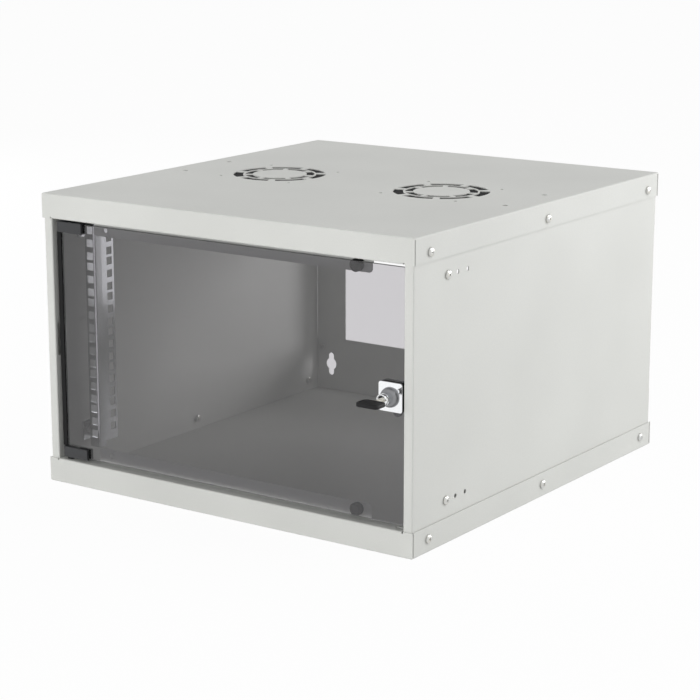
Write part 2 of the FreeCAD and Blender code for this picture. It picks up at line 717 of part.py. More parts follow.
save("lock_face_plate", lock_plate(lock_plate_front, lock_plate_rear))
save("lock_front_housing", lock_plate(lock_plate_rear, glass_front))

sleeve = turned_piece([(barrel_hole, 0), (glass_hole_radius - lap_gap, 0),
                       (glass_hole_radius - lap_gap, glass_thickness - lap_gap),
                       (barrel_hole, glass_thickness - lap_gap)], V(lock_x, glass_rear, lock_z), -Y_AXIS)
pocket = rod(lock_nut_pocket_radius, V(lock_x, lock_rear - lock_nut_pocket, lock_z), Y_AXIS,
             2 * lock_nut_pocket)
save("lock_rear_housing", lock_plate(glass_rear, lock_rear).cut(pocket).fuse(sleeve).removeSplitter())

ring_nut = hex_nut(lock_nut_flats, lock_nut_pocket, barrel_hole)
save("lock_ring_nut", turned_to(ring_nut, V(lock_x, lock_rear, lock_z), Y_AXIS))

plug_bore = plug_radius + running_gap
dome_shoulder = V(neck_radius + (dome_radius - neck_radius) / sqrt(2), 0, dome_height / sqrt(2))
dome = Part.Arc(V(dome_radius, 0, 0), dome_shoulder, V(neck_radius, 0, dome_height)).toShape()
barrel_tail = lock_rear - lock_plate_front
barrel_ring = Part.makePolygon([
    V(neck_radius, 0, dome_height), V(neck_radius, 0, neck_reach - clamp_edge),
    V(neck_radius - clamp_edge, 0, neck_reach), V(plug_bore, 0, neck_reach), V(plug_bore, 0, -barrel_tail),
    V(barrel_radius, 0, -barrel_tail), V(barrel_radius, 0, 0), V(dome_radius, 0, 0)])
barrel = Part.Face(Part.Wire([dome] + barrel_ring.Edges)).revolve(V(0, 0, 0), Z_AXIS, 360)
save("lock_barrel", turned_to(barrel, V(lock_x, lock_plate_front, lock_z), -Y_AXIS))


# ---------------------------------------------------------------- plug, cam and key
# The plug turns in the barrel and carries the cam on a square; at rest the cam hangs clear of the
# strike slot and the key stands level.
square_side = plug_radius * sqrt(2)
plug = rod(plug_radius, V(lock_x, plug_face, lock_z), Y_AXIS, lock_rear + running_gap - plug_face)
square = block(lock_x - square_side / 2, lock_x + square_side / 2, lock_rear, cam_rear - running_gap,
               lock_z - square_side / 2, lock_z + square_side / 2)
keyway_half_width = key_width / 2 + key_gap
keyway_half_height = key_thickness / 2 + key_gap
keyway = block(lock_x - keyway_half_width, lock_x + keyway_half_width, plug_face - sheet,
               plug_face + key_insertion + sheet, lock_z - keyway_half_height, lock_z + keyway_half_height)
screw_bore = rod(cam_screw_radius + nut_gap, V(lock_x, cam_rear, lock_z), -Y_AXIS, cam_screw_length + cam_gap)
save("lock_plug", plug.fuse(square).cut([keyway, screw_bore]))

cam_tip_z = lock_z - cam_length + cam_half_width
cam = block(lock_x - cam_half_width, lock_x + cam_half_width, cam_front, cam_rear, cam_tip_z, lock_z)
cam_eye_radius = square_side / 2 + cam_half_width / 2
cam = cam.fuse([rod(cam_half_width, V(lock_x, cam_front, cam_tip_z), Y_AXIS, cam_thickness),
                rod(cam_eye_radius, V(lock_x, cam_front, lock_z), Y_AXIS, cam_thickness)])
square_hole = block(lock_x - square_side / 2 - nut_gap, lock_x + square_side / 2 + nut_gap,
                    cam_front - sheet, cam_rear + sheet,
                    lock_z - square_side / 2 - nut_gap, lock_z + square_side / 2 + nut_gap)
save("lock_cam", cam.removeSplitter().cut(square_hole))

cam_screw_size = {"radius": cam_screw_radius, "head_radius": cam_screw_head_radius, "head": cam_screw_head}
cam_screw = pan_screw(cam_screw_size, cam_screw_length - screw_point)
save("lock_cam_screw", turned_to(cam_screw, V(lock_x, cam_rear, lock_z), Y_AXIS))

head_rear = plug_face - key_neck
blade_start = head_rear - key_socket
blade = block(lock_x - key_width / 2, lock_x + key_width / 2, blade_start, plug_face + key_insertion,
              lock_z - key_thickness / 2, lock_z + key_thickness / 2)
blade_edge = lock_x + key_width / 2
for k in range(key_notches):
    notch_y = plug_face + key_notch_pitch * (k + 1)
    ring = [V(blade_edge + depth, notch_y + 2 * half, lock_z - key_thickness)
            for depth, half in ((-key_notch_depth, 0), (key_notch_depth, -key_notch_depth),
                                (key_notch_depth, key_notch_depth))]
    blade = blade.cut(Part.Face(Part.makePolygon(ring + ring[:1])).extrude(V(0, 0, 2 * key_thickness)))
save("key_blade", blade)

key_head = block(lock_x - key_head_width / 2, lock_x + key_head_width / 2,
                 head_rear - key_head_length, head_rear,
                 lock_z - key_head_thickness / 2, lock_z + key_head_thickness / 2)
key_head = key_head.makeFillet(key_head_corner, edges_along(key_head, Z_AXIS, lambda p: True))
rims = [edge for edge in key_head.Edges
        if abs(edge.CenterOfMass.z - lock_z) > key_head_thickness / 2 - 1e-6]
key_head = key_head.makeChamfer(key_head_edge, rims)
save("key_head", key_head.cut(blade))
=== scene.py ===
import json
from math import cos, pi, radians, sin, sqrt

import bmesh
import bpy
from mathutils import Matrix, Vector


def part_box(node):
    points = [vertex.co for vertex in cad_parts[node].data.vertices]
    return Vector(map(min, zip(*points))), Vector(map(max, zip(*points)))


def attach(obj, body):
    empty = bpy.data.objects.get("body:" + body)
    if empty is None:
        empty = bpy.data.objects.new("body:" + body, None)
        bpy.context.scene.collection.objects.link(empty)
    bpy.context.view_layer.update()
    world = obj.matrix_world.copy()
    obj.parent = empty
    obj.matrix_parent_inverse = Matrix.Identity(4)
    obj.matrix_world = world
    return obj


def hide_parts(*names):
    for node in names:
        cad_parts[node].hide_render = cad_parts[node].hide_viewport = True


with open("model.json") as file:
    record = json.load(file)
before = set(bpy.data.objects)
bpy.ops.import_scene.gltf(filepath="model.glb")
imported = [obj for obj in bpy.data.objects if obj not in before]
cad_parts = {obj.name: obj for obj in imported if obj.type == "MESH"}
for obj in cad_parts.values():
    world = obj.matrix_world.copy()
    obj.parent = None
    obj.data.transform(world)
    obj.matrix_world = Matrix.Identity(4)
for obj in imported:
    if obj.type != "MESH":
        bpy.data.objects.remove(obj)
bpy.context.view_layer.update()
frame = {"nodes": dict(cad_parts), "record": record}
nodes = frame["nodes"]

# ---------------------------------------------------------------- covers, side panels and back panel
# Blanked and folded from 1.2 mm cold-rolled steel sheet, then powder coated light grey and stoved.
# The coat is satin, with a faint orange peel and a fine grain.
mm = 0.001


def linear(hex_colour):
    """Turns an sRGB hex colour into the linear colour that a shader takes."""
    parts = [int(hex_colour[k:k + 2], 16) / 255 for k in (1, 3, 5)]
    return tuple(c / 12.92 if c <= 0.04045 else ((c + 0.055) / 1.055) ** 2.4 for c in parts) + (1.0,)


def add_node(finish, kind, inputs, **settings):
    """Adds a shader node; inputs gives its sockets, by name or number, a value or a socket to follow."""
    node = finish.node_tree.nodes.new(kind)
    for name, value in settings.items():
        setattr(node, name, value)
    for key, value in inputs.items():
        if isinstance(value, bpy.types.NodeSocket):
            finish.node_tree.links.new(value, node.inputs[key])
        else:
            node.inputs[key].default_value = value
    return node


def new_finish(name):
    finish = bpy.data.materials.new(name)
    finish.use_nodes = True
    finish.node_tree.nodes.clear()
    return finish


def finish_nodes(finish, *names):
    """Gives CAD nodes their finish."""
    for name in names:
        nodes[name].material_slots[0].material = finish


sheet_grey = "#d9dad6"
sheet_grey_deep = "#d2d3cf"
coat_drift = 140 * mm
# The peel of such a coat repeats every 1.5 mm or so; it is drawn at 3 mm so that it shows.
peel_size = 3.0 * mm
peel_height = 0.004 * mm
grain_size = 0.9 * mm

powder_coat = new_finish("light grey powder coat on steel")
place = add_node(powder_coat, "ShaderNodeTexCoord", {})
drift = add_node(powder_coat, "ShaderNodeTexNoise",
                 {"Vector": place.outputs["Object"], "Scale": 1 / coat_drift, "Detail": 1.0})
grain = add_node(powder_coat, "ShaderNodeTexNoise",
                 {"Vector": place.outputs["Object"], "Scale": 1 / grain_size, "Detail": 2.0})
cloud = add_node(powder_coat, "ShaderNodeMath", {0: drift.outputs["Fac"], 1: grain.outputs["Fac"]},
                 operation="MULTIPLY")
tone = add_node(powder_coat, "ShaderNodeMapRange",
                {"Value": cloud.outputs[0], "From Min": 0.12, "From Max": 0.4})
shade = add_node(powder_coat, "ShaderNodeMix", {"Factor": tone.outputs[0], 6: linear(sheet_grey_deep),
                                                7: linear(sheet_grey)}, data_type="RGBA")
satin = add_node(powder_coat, "ShaderNodeMapRange",
                 {"Value": grain.outputs["Fac"], "To Min": 0.46, "To Max": 0.56})
peel = add_node(powder_coat, "ShaderNodeTexNoise",
                {"Vector": place.outputs["Object"], "Scale": 1 / peel_size, "Detail": 1.0})
relief = add_node(powder_coat, "ShaderNodeBump",
                  {"Height": peel.outputs["Fac"], "Distance": peel_height, "Strength": 1.0})
skin = add_node(powder_coat, "ShaderNodeBsdfPrincipled",
                {"Base Color": shade.outputs[2], "Roughness": satin.outputs[0], "Normal": relief.outputs[0],
                 "IOR": 1.5})
add_node(powder_coat, "ShaderNodeOutputMaterial", {"Surface": skin.outputs[0]})
finish_nodes(powder_coat, "top_cover", "bottom_cover", "left_side_panel", "right_side_panel", "back_panel")

# ---------------------------------------------------------------- dark discs under the fan knock-outs, painted shade
# Painted shade: near-black discs under the slots stand in for the shade seen through them. They are drawn
# as die-cut foam glued under the slots, matt and nearly black, with a pitted face.
housing_sheet = 1.2 * mm
shade_disc_radius = 62 * mm
shade_disc_thickness = 2.5 * mm
shade_disc_edge = 0.4 * mm
shade_disc_lift = 0.05 * mm
# Painted shade: the near-black of these discs stands in for the shade inside the fan slots.
painted_shade_black = "#0d0d0e"
painted_shade_grey = "#1a1a1b"
foam_cell = 1.0 * mm
foam_pit = 0.3 * mm

shade_disc_foam = new_finish("black foam, painted shade under the fan slots")
place = add_node(shade_disc_foam, "ShaderNodeTexCoord", {})
cells = add_node(shade_disc_foam, "ShaderNodeTexVoronoi",
                 {"Vector": place.outputs["Object"], "Scale": 1 / foam_cell})
shade = add_node(shade_disc_foam, "ShaderNodeMix", {"Factor": cells.outputs["Distance"], 6: linear(painted_shade_black),
                                              7: linear(painted_shade_grey)}, data_type="RGBA")
matt = add_node(shade_disc_foam, "ShaderNodeMapRange",
                {"Value": cells.outputs["Distance"], "To Min": 0.8, "To Max": 0.95})
relief = add_node(shade_disc_foam, "ShaderNodeBump",
                  {"Height": cells.outputs["Distance"], "Distance": foam_pit, "Strength": 1.0})
skin = add_node(shade_disc_foam, "ShaderNodeBsdfPrincipled",
                {"Base Color": shade.outputs[2], "Roughness": matt.outputs[0], "Normal": relief.outputs[0],
                 "IOR": 1.5, "Specular IOR Level": 0.2})
add_node(shade_disc_foam, "ShaderNodeOutputMaterial", {"Surface": skin.outputs[0]})

around = 48
crease = radians(32)


def circle(radius, height, count=around):
    angles = [2 * pi * k / count for k in range(count)]
    return [(radius * cos(angle), radius * sin(angle), height) for angle in angles]


def loft(rings, joined=False):
    """Closed skin over rings of equally many points: its ends are capped, or joined to each other."""
    form = bmesh.new()
    rows = [[form.verts.new(point) for point in ring] for ring in rings]
    pairs = list(zip(rows, rows[1:]))
    if joined:
        pairs.append((rows[-1], rows[0]))
    else:
        form.faces.new(rows[0][::-1])
        form.faces.new(rows[-1])
    for lower, upper in pairs:
        for k in range(len(lower)):
            following = (k + 1) % len(lower)
            form.faces.new((lower[k], lower[following], upper[following], upper[k]))
    bmesh.ops.recalc_face_normals(form, faces=form.faces)
    return form


def mesh_from(form, name):
    """Ends a bmesh as a mesh that shades smooth over bends and crisp over edges."""
    mesh = bpy.data.meshes.new(name)
    form.to_mesh(mesh)
    form.free()
    mesh.shade_smooth()
    mesh.set_sharp_from_angle(angle=crease)
    return mesh


shade_disc_top = -housing_sheet - shade_disc_lift
shade_disc_foot = shade_disc_top - shade_disc_thickness
shade_disc_rings = [circle(shade_disc_radius - shade_disc_edge, shade_disc_foot),
              circle(shade_disc_radius, shade_disc_foot + shade_disc_edge),
              circle(shade_disc_radius, shade_disc_top - shade_disc_edge),
              circle(shade_disc_radius - shade_disc_edge, shade_disc_top)]
fan_mounts = [mount for mount in frame["record"]["mounts"] if mount["name"].endswith("fan_holes")]
# Each disc sits under a knock-out as painted shade for its slots.
for mount in fan_mounts:
    disc = mesh_from(loft(shade_disc_rings), mount["name"] + " filter")
    disc.transform(Matrix.Translation(mount["pos_m"]))
    piece = bpy.data.objects.new(mount["name"].replace("holes", "filter"), disc)
    bpy.context.scene.collection.objects.link(piece)
    piece.data.materials.append(shade_disc_foam)
    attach(piece, "root")

# ---------------------------------------------------------------- rack rails and their brackets
# Punched and folded from 1.5 mm and 2 mm steel, and zinc plated. The plate keeps the direction in which
# the sheet was rolled: it is a satin metal with long, faint streaks up and down the rail.
rail_zinc = "#e2e4e6"
rail_zinc_dull = "#d2d4d7"
streak_width = 1.2 * mm
streak_length = 40 * mm

plated_rail = new_finish("zinc plate on rolled steel rail")
place = add_node(plated_rail, "ShaderNodeTexCoord", {})
stretch = add_node(plated_rail, "ShaderNodeMapping",
                   {"Vector": place.outputs["Object"],
                    "Scale": (1 / streak_width, 1 / streak_width, 1 / streak_length)})
streak = add_node(plated_rail, "ShaderNodeTexNoise",
                  {"Vector": stretch.outputs["Vector"], "Scale": 1.0, "Detail": 2.0})
shade = add_node(plated_rail, "ShaderNodeMix", {"Factor": streak.outputs["Fac"], 6: linear(rail_zinc_dull),
                                                7: linear(rail_zinc)}, data_type="RGBA")
satin = add_node(plated_rail, "ShaderNodeMapRange",
                 {"Value": streak.outputs["Fac"], "To Min": 0.1, "To Max": 0.2})
skin = add_node(plated_rail, "ShaderNodeBsdfPrincipled",
                {"Base Color": shade.outputs[2], "Roughness": satin.outputs[0], "Metallic": 1.0})
add_node(plated_rail, "ShaderNodeOutputMaterial", {"Surface": skin.outputs[0]})
finish_nodes(plated_rail, "left_rack_rail", "right_rack_rail", "lower_left_rail_bracket",
             "lower_right_rail_bracket", "upper_left_rail_bracket", "upper_right_rail_bracket")

# ---------------------------------------------------------------- screws
# Cold-headed pan screws with a cross recess and rolled threads, in steel with bright zinc plate. The
# plate is a pale silver with a cool and a warm cast in patches, and finely brushed by the barrel.
head_reach = {"M5": 3.0 * mm, "M4": 1.8 * mm, "M3": 1.8 * mm}
head_radius = {"M5": 5.25 * mm, "M4": 4.0 * mm, "M3": 3.2 * mm}
shank_radius = {"M5": 2.5 * mm, "M4": 2.0 * mm, "M3": 1.5 * mm}
thread_pitch = {"M5": 0.8 * mm, "M4": 0.7 * mm, "M3": 0.5 * mm}
recess_reach = {"M5": 2.45 * mm, "M4": 1.95 * mm, "M3": 1.5 * mm}
recess_wing = 0.6 * mm
recess_taper = 0.55
recess_depth_share = 0.72
thread_root_share = 0.86
rows_per_pitch = 4


def carved(body, cutter, operation):
    """The body's mesh with the cutter's taken from it, or where both are."""
    shapes = [bpy.data.objects.new("carving", mesh) for mesh in (body, cutter)]
    for shape in shapes:
        bpy.context.scene.collection.objects.link(shape)
    carve = shapes[0].modifiers.new("carve", "BOOLEAN")
    carve.operation = operation
    carve.object = shapes[1]
    bpy.context.view_layer.update()
    finished = shapes[0].evaluated_get(bpy.context.evaluated_depsgraph_get())
    result = bpy.data.meshes.new_from_object(finished)
    for shape in shapes:
        bpy.data.objects.remove(shape)
    result.shade_smooth()
    result.set_sharp_from_angle(angle=crease)
    return result


def cross_cutter(reach, depth, top):
    """Tapered cross, as the punch that forms the recess."""
    outline = []
    for quarter in range(4):
        turn = Matrix.Rotation(quarter * pi / 2, 3, "Z")
        outline += [turn @ Vector(corner) for corner in
                    ((reach, -recess_wing, 0), (reach, recess_wing, 0), (recess_wing, recess_wing, 0))]
    foot = [point * recess_taper + Vector((0, 0, top - depth)) for point in outline]
    mouth = [point + Vector((0, 0, top + depth / 4)) for point in outline]
    return mesh_from(loft([foot, mouth]), "recess punch")


def screw_mesh(size, length):
    """Screw along +Z: its seat is at the origin, and the shank of that length points down."""
    reach, radius = head_reach[size], head_radius[size]
    crown = [circle(radius * share, reach * rise) for share, rise in
             ((0.96, 0), (1, 0.06), (1, 0.34), (0.98, 0.47), (0.93, 0.62), (0.84, 0.77), (0.7, 0.89),
              (0.5, 0.97), (0.25, 1.0))]
    head = mesh_from(loft(crown), "head")
    head = carved(head, cross_cutter(recess_reach[size], reach * recess_depth_share, reach), "DIFFERENCE")
    root = thread_root_share * shank_radius[size]
    rows = int(rows_per_pitch * length / thread_pitch[size])
    thread = []
    for row in range(rows + 1):
        down = length * row / rows
        ring = []
        for k in range(around // 2):
            turn = k / (around // 2)
            phase = (down / thread_pitch[size] + turn) % 1
            crest = (1 - abs(2 * phase - 1)) * min(1, (length - down) / mm)
            depth = root + (shank_radius[size] - root) * crest
            ring.append((depth * cos(2 * pi * turn), depth * sin(2 * pi * turn), -down))
        thread.append(ring)
    form = loft(thread[::-1])
    form.from_mesh(head)
    return mesh_from(form, size + " screw")


def placed(name, mesh, places, finish, body):
    """One piece of several copies of a mesh; each place is (point, outward, turn about its own axis)."""
    form = bmesh.new()
    for point, outward, turn in places:
        copy = mesh.copy()
        upright = Vector((0, 0, 1)).rotation_difference(Vector(outward)).to_matrix().to_4x4()
        copy.transform(Matrix.Translation(point) @ upright @ Matrix.Rotation(turn, 4, "Z"))
        form.from_mesh(copy)
        bpy.data.meshes.remove(copy)
    piece = bpy.data.objects.new(name, mesh_from(form, name))
    bpy.context.scene.collection.objects.link(piece)
    piece.data.materials.append(finish)
    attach(piece, body)
    return piece


zinc_cool = "#c9ced4"
zinc_warm = "#cfcabb"
zinc_patch = 3.5 * mm
# The barrel's scratches are finer than this; they are drawn at 0.35 mm so that they show.
zinc_scratch = 0.35 * mm

bright_zinc = new_finish("bright zinc plate on steel")
place = add_node(bright_zinc, "ShaderNodeTexCoord", {})
cast = add_node(bright_zinc, "ShaderNodeTexNoise",
                {"Vector": place.outputs["Object"], "Scale": 1 / zinc_patch, "Detail": 2.0})
shade = add_node(bright_zinc, "ShaderNodeMix", {"Factor": cast.outputs["Fac"], 6: linear(zinc_cool),
                                                7: linear(zinc_warm)}, data_type="RGBA")
scratch = add_node(bright_zinc, "ShaderNodeTexNoise",
                   {"Vector": place.outputs["Object"], "Scale": 1 / zinc_scratch, "Detail": 1.0})
satin = add_node(bright_zinc, "ShaderNodeMapRange",
                 {"Value": scratch.outputs["Fac"], "To Min": 0.2, "To Max": 0.4})
skin = add_node(bright_zinc, "ShaderNodeBsdfPrincipled",
                {"Base Color": shade.outputs[2], "Roughness": satin.outputs[0], "Metallic": 1.0})
add_node(bright_zinc, "ShaderNodeOutputMaterial", {"Surface": skin.outputs[0]})


# Each screw's recess stops at an angle of its own.
recess_turn = 0.7


def spread(low, high, radius, count):
    """Centres of a row of round pieces that fills a box from side to side."""
    first, last = low + radius, high - radius
    return [first + (last - first) * k / (count - 1) for k in range(count)]


def sideways(node, size, columns, rows, heads_out):
    """Places of a node's screws: those on the right, then those on the left, all across the cabinet."""
    low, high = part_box(node)
    radius = head_radius[size]
    heights = spread(low.z, high.z, radius, rows) if rows > 1 else [(low.z + high.z) / 2]
    depths = spread(low.y, high.y, radius, columns) if columns > 1 else [(low.y + high.y) / 2]
    places = []
    for side in (1, -1):
        for y in depths:
            for z in heights:
                seat = high.x - head_reach[size] if heads_out else rail_seat
                outward = side if heads_out else -side
                places.append(((side * seat, y, z), (outward, 0, 0), recess_turn * len(places)))
    return places


rail_sheet = 1.5 * mm
bracket_sheet = 2.0 * mm
screw_point = 1.0 * mm
nut_height = {"M5": 4.0 * mm, "M4": 3.2 * mm}
rail_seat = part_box("right_rack_rail")[1].x - rail_sheet
lap_gap = 0.3 * mm
cover_grip = 2 * housing_sheet + lap_gap

cover_screw = screw_mesh("M5", cover_grip + nut_height["M5"] + screw_point)
for node in ("top_cover_screws", "bottom_cover_screws"):
    piece = placed(node + "_detailed", cover_screw, sideways(node, "M5", 3, 1, True), bright_zinc,
                   "root")
    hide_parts(node)
bracket_screw = screw_mesh("M5", housing_sheet + bracket_sheet + nut_height["M5"] + screw_point)
piece = placed("bracket_screws_detailed", bracket_screw, sideways("bracket_screws", "M5", 1, 2, True),
               bright_zinc, "root")
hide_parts("bracket_screws")
rail_screw = screw_mesh("M5", rail_sheet + bracket_sheet + nut_height["M5"] + screw_point)
piece = placed("rail_screws_detailed", rail_screw, sideways("rail_screws", "M5", 1, 2, False),
               bright_zinc, "root")
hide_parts("rail_screws")

low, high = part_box("back_panel_screws")
back_screw = screw_mesh("M4", 2 * housing_sheet + nut_height["M4"] + screw_point)
back_places = [((x, high.y - head_reach["M4"], z), (0, 1, 0), x * 40 + z * 20)
               for x in spread(low.x, high.x, head_radius["M4"], 2)
               for z in spread(low.z, high.z, head_radius["M4"], 2)]
piece = placed("back_panel_screws_detailed", back_screw, back_places, bright_zinc, "root")
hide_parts("back_panel_screws")

# ---------------------------------------------------------------- nuts
# Hexagon nuts, cold formed and zinc plated with the screws. Both faces are chamfered, so that the
# hexagon's corners are cut back to a circle.
nut_flats = {"M5": 8.0 * mm, "M4": 7.0 * mm}
nut_chamfer = 0.45 * mm


def nut_mesh(flats, height, bore):
    """Nut along -Z with its seat at the origin."""
    corner = flats / sqrt(3)
    hexagon = mesh_from(loft([circle(corner, -height, 6), circle(corner, 0, 6)]), "hexagon")
    washer = loft([circle(bore, 0), circle(corner - 2 * nut_chamfer, 0), circle(corner, -nut_chamfer),
                   circle(corner, nut_chamfer - height), circle(corner - 2 * nut_chamfer, -height),
                   circle(bore, -height)], joined=True)
    return carved(hexagon, mesh_from(washer, "washer"), "INTERSECT")


nut_bore_gap = 0.05 * mm
for node, size, screws in (("top_cover_nuts", "M5", "top_cover_screws"),
                           ("bottom_cover_nuts", "M5", "bottom_cover_screws"),
                           ("bracket_nuts", "M5", "bracket_screws"), ("rail_nuts", "M5", "rail_screws")):
    heads_out = node != "rail_nuts"
    places = sideways(screws, size, 3 if "cover" in node else 1, 1 if "cover" in node else 2, heads_out)
    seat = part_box(node)[1].x if heads_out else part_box(node)[1].x - nut_height[size]
    seats = [((seat if point[0] > 0 else -seat, point[1], point[2]), outward, 0)
             for point, outward, turn in places]
    nut = nut_mesh(nut_flats[size], nut_height[size], shank_radius[size] + nut_bore_gap)
    piece = placed(node + "_detailed", nut, seats, bright_zinc, "root")
    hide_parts(node)

nut = nut_mesh(nut_flats["M4"], nut_height["M4"], shank_radius["M4"] + nut_bore_gap)
back_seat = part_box("back_panel_nuts")[1].y
seats = [((point[0], back_seat, point[2]), outward, 0) for point, outward, turn in back_places]
piece = placed("back_panel_nuts_detailed", nut, seats, bright_zinc, "root")
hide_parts("back_panel_nuts")

# ---------------------------------------------------------------- door bumpers and the door's edge trim
# Compression-moulded black rubber discs, pressed into the stop strips, and a slit rubber edging pushed
# on the hinge side of the glass. Rubber is matt, nearly black, and shows a faint grey bloom.
rubber_black = "#131314"
rubber_bloom = "#1b1b1c"
bloom_size = 6 * mm
rubber_grain = 0.6 * mm
rubber_grain_height = 0.03 * mm

moulded_rubber = new_finish("moulded black rubber")
place = add_node(moulded_rubber, "ShaderNodeTexCoord", {})
bloom = add_node(moulded_rubber, "ShaderNodeTexNoise",
                 {"Vector": place.outputs["Object"], "Scale": 1 / bloom_size, "Detail": 3.0})
shade = add_node(moulded_rubber, "ShaderNodeMix", {"Factor": bloom.outputs["Fac"], 6: linear(rubber_black),
                                                   7: linear(rubber_bloom)}, data_type="RGBA")
grain = add_node(moulded_rubber, "ShaderNodeTexNoise",
                 {"Vector": place.outputs["Object"], "Scale": 1 / rubber_grain, "Detail": 1.0})
matt = add_node(moulded_rubber, "ShaderNodeMapRange",
                {"Value": bloom.outputs["Fac"], "To Min": 0.66, "To Max": 0.84})
relief = add_node(moulded_rubber, "ShaderNodeBump",
                  {"Height": grain.outputs["Fac"], "Distance": rubber_grain_height, "Strength": 1.0})
skin = add_node(moulded_rubber, "ShaderNodeBsdfPrincipled",
                {"Base Color": shade.outputs[2], "Roughness": matt.outputs[0], "Normal": relief.outputs[0],
                 "IOR": 1.52, "Specular IOR Level": 0.3})
add_node(moulded_rubber, "ShaderNodeOutputMaterial", {"Surface": skin.outputs[0]})
finish_nodes(moulded_rubber, "top_door_bumper", "bottom_door_bumper", "door_edge_trim", "hinge_clamp_pads")

# ---------------------------------------------------------------- hinge pins and bushes
# Turned steel pins, blackened in oil, pushed through the ledges, and black nylon bushes that space the
# clamps. The oxide leaves a dark satin metal; the nylon is a plain satin black.
oxide_dark = "#4a4a4c"
oxide_light = "#5c5c5f"
turning_pitch = 0.5 * mm
# At a scale of 1 the bands of a wave texture stand about 0.3 units apart.
band_spacing = 0.3

blackened_steel = new_finish("blackened turned steel")
place = add_node(blackened_steel, "ShaderNodeTexCoord", {})
turning = add_node(blackened_steel, "ShaderNodeTexWave",
                   {"Vector": place.outputs["Object"], "Scale": band_spacing / turning_pitch,
                    "Distortion": 0.4},
                   bands_direction="Z")
shade = add_node(blackened_steel, "ShaderNodeMix", {"Factor": turning.outputs["Fac"], 6: linear(oxide_dark),
                                                    7: linear(oxide_light)}, data_type="RGBA")
satin = add_node(blackened_steel, "ShaderNodeMapRange",
                 {"Value": turning.outputs["Fac"], "To Min": 0.3, "To Max": 0.42})
skin = add_node(blackened_steel, "ShaderNodeBsdfPrincipled",
                {"Base Color": shade.outputs[2], "Roughness": satin.outputs[0], "Metallic": 1.0})
add_node(blackened_steel, "ShaderNodeOutputMaterial", {"Surface": skin.outputs[0]})
finish_nodes(blackened_steel, "top_hinge_pin", "bottom_hinge_pin", "hinge_clamp_screws", "lock_cam")

nylon_black = "#101012"
nylon_grey = "#17171a"
mould_grain = 0.4 * mm
mould_grain_height = 0.01 * mm

moulded_nylon = new_finish("moulded black nylon")
place = add_node(moulded_nylon, "ShaderNodeTexCoord", {})
grain = add_node(moulded_nylon, "ShaderNodeTexNoise",
                 {"Vector": place.outputs["Object"], "Scale": 1 / mould_grain, "Detail": 2.0})
shade = add_node(moulded_nylon, "ShaderNodeMix", {"Factor": grain.outputs["Fac"], 6: linear(nylon_black),
                                                  7: linear(nylon_grey)}, data_type="RGBA")
satin = add_node(moulded_nylon, "ShaderNodeMapRange",
                 {"Value": grain.outputs["Fac"], "To Min": 0.36, "To Max": 0.5})
relief = add_node(moulded_nylon, "ShaderNodeBump",
                  {"Height": grain.outputs["Fac"], "Distance": mould_grain_height, "Strength": 1.0})
skin = add_node(moulded_nylon, "ShaderNodeBsdfPrincipled",
                {"Base Color": shade.outputs[2], "Roughness": satin.outputs[0], "Normal": relief.outputs[0],
                 "IOR": 1.53})
add_node(moulded_nylon, "ShaderNodeOutputMaterial", {"Surface": skin.outputs[0]})
finish_nodes(moulded_nylon, "top_hinge_bush", "bottom_hinge_bush", "lock_front_housing", "lock_rear_housing")

# ---------------------------------------------------------------- door glass
# One sheet of 4 mm float glass, tinted grey in the melt, cut, drilled and edge-ground before it was
# tempered. The faces are clear and even; the ground edges are frosted and look darker along the tint.
glass_tint = "#cac8cb"
edge_tint = "#5c5f5f"
shadow_tint = "#acacae"
edge_grind = 1.2 * mm

grey_glass = new_finish("grey tinted tempered glass")
place = add_node(grey_glass, "ShaderNodeTexCoord", {})
facing = add_node(grey_glass, "ShaderNodeSeparateXYZ", {0: place.outputs["Normal"]})
depthwise = add_node(grey_glass, "ShaderNodeMath", {0: facing.outputs["Y"]}, operation="ABSOLUTE")
grind = add_node(grey_glass, "ShaderNodeTexNoise",
                 {"Vector": place.outputs["Object"], "Scale": 1 / edge_grind, "Detail": 2.0})
frost = add_node(grey_glass, "ShaderNodeMapRange",
                 {"Value": grind.outputs["Fac"], "To Min": 0.3, "To Max": 0.5})
ground = add_node(grey_glass, "ShaderNodeMapRange",
                  {"Value": depthwise.outputs[0], "From Min": 0.4, "From Max": 0.6,
                   "To Min": frost.outputs[0], "To Max": 0.0})
tint = add_node(grey_glass, "ShaderNodeMix",
                {"Factor": depthwise.outputs[0], 6: linear(edge_tint), 7: linear(glass_tint)},
                data_type="RGBA")
pane = add_node(grey_glass, "ShaderNodeBsdfPrincipled",
                {"Base Color": tint.outputs[2], "Roughness": ground.outputs[0], "IOR": 1.58,
                 "Transmission Weight": 1.0})
# Light on its way from a lamp or a lit surface goes through tinted but not bent.
through = add_node(grey_glass, "ShaderNodeBsdfTransparent", {"Color": linear(shadow_tint)})
ray = add_node(grey_glass, "ShaderNodeLightPath", {})
scattered = add_node(grey_glass, "ShaderNodeMixShader",
                     {0: ray.outputs["Is Diffuse Ray"], 1: pane.outputs[0], 2: through.outputs[0]})
passing = add_node(grey_glass, "ShaderNodeMixShader",
                   {0: ray.outputs["Is Shadow Ray"], 1: scattered.outputs[0], 2: through.outputs[0]})
add_node(grey_glass, "ShaderNodeOutputMaterial", {"Surface": passing.outputs[0]})
finish_nodes(grey_glass, "door_glass")

# ---------------------------------------------------------------- hinge clamps
# Zinc die castings, painted a dark satin grey, that grip the glass at its hinge corners. The paint
# follows the casting's slightly uneven skin.
clamp_grey = "#333436"
clamp_grey_deep = "#2b2c2e"
casting_size = 2.5 * mm
casting_height = 0.03 * mm

